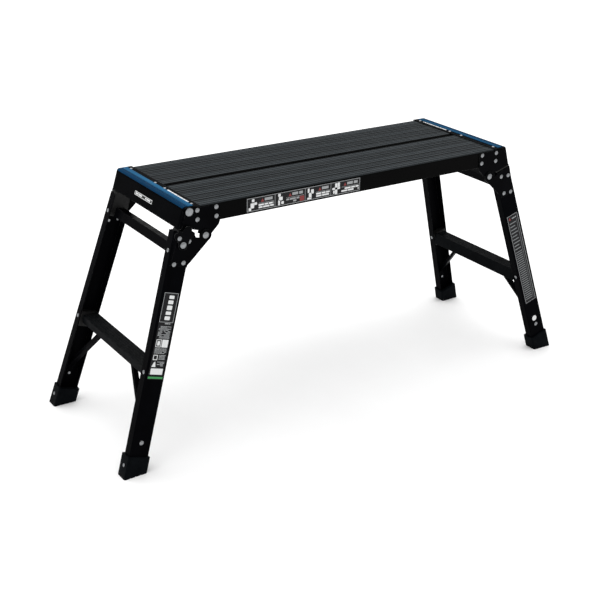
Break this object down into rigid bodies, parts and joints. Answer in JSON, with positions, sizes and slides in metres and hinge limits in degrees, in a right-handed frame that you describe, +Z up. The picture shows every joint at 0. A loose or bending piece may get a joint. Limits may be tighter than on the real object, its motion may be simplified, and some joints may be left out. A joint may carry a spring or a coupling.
{
  "type": "work platform bench",
  "caption": "Folding work platform: a ribbed two-plank deck on hinged, splayed leg frames with a rung, braces, rubber feet and a lock lever at opposite corners.",
  "frame": {"origin": "on the floor under the centre of the deck", "axes": "+X along the deck towards its right end, +Y across the deck away from the front, +Z up"},
  "size_m": [1.5602, 0.5118, 0.7028],
  "materials": {
    "plank": "anodised dark grey, fine ribs along the deck",
    "blue_strip": "anodised blue, satin",
    "end_cap": "satin black",
    "bracket": "satin black",
    "strap": "satin black",
    "rivet": "bare, satin",
    "leg": "satin black",
    "rung": "satin black, ribbed tread",
    "head": "grey nylon",
    "block": "black nylon",
    "rubber": "matt black",
    "bush": "off-white nylon",
    "spring": "zinc plated",
    "lever": "satin black"
  },
  "bodies": {
    "deck": {"front_plank": "plank", "rear_plank": "plank", "left_end_cap": "end_cap", "right_end_cap": "end_cap", "left_edge_strip": "blue_strip", "right_edge_strip": "blue_strip", "left_strip_rivets": "rivet", "right_strip_rivets": "rivet", "front_left_deck_bracket": "bracket", "rear_left_deck_bracket": "bracket", "front_right_deck_bracket": "bracket", "rear_right_deck_bracket": "bracket", "deck_bracket_rivets": "rivet", "corner_rivets": "rivet", "left_cross_strap": "strap", "middle_cross_strap": "strap", "right_cross_strap": "strap", "strap_rivets": "rivet", "pivot_pins": "rivet", "catch_studs": "rivet"},
    "left_leg_frame": {"left_front_leg": "leg", "left_rear_leg": "leg", "left_top_rail": "leg", "left_leg_heads": "head", "left_rung": "rung", "left_rung_blocks": "block", "left_front_brace": "leg", "left_rear_brace": "leg", "left_front_leg_bracket": "bracket", "left_rear_leg_bracket": "bracket", "left_leg_rivets": "rivet", "left_front_foot": "rubber", "left_rear_foot": "rubber", "left_foot_rivets": "rivet", "left_pivot_bushes": "bush", "left_lever_pivot": "rivet", "left_lever_spring": "spring"},
    "right_leg_frame": {"right_front_leg": "leg", "right_rear_leg": "leg", "right_top_rail": "leg", "right_leg_heads": "head", "right_rung": "rung", "right_rung_blocks": "block", "right_front_brace": "leg", "right_rear_brace": "leg", "right_front_leg_bracket": "bracket", "right_rear_leg_bracket": "bracket", "right_leg_rivets": "rivet", "right_front_foot": "rubber", "right_rear_foot": "rubber", "right_foot_rivets": "rivet", "right_pivot_bushes": "bush", "right_lever_pivot": "rivet", "right_lever_spring": "spring"},
    "front_left_lever": {"front_left_lock_lever": "lever", "front_left_lever_stud": "rivet"},
    "rear_right_lever": {"rear_right_lock_lever": "lever", "rear_right_lever_stud": "rivet"}
  },
  "joints": [
    {"name": "left_leg_fold", "type": "hinge", "parent": "deck", "child": "left_leg_frame", "pos_m": [-0.4921, 0, 0.6168], "axis": [0, -1, 0], "range_deg": [0, 111.5]},
    {"name": "right_leg_fold", "type": "hinge", "parent": "deck", "child": "right_leg_frame", "pos_m": [0.4921, 0, 0.6168], "axis": [0, 1, 0], "range_deg": [0, 103.5]},
    {"name": "front_left_lever_turn", "type": "hinge", "parent": "left_leg_frame", "child": "front_left_lever", "pos_m": [-0.56096, -0.2028, 0.60397], "axis": [0, -1, 0], "range_deg": [0, 24], "stiffness_Nm_per_rad": 0.15, "springref_deg": -20.05},
    {"name": "rear_right_lever_turn", "type": "hinge", "parent": "right_leg_frame", "child": "rear_right_lever", "pos_m": [0.56096, 0.2028, 0.60397], "axis": [0, 1, 0], "range_deg": [0, 24], "stiffness_Nm_per_rad": 0.15, "springref_deg": -20.05}
  ]
}
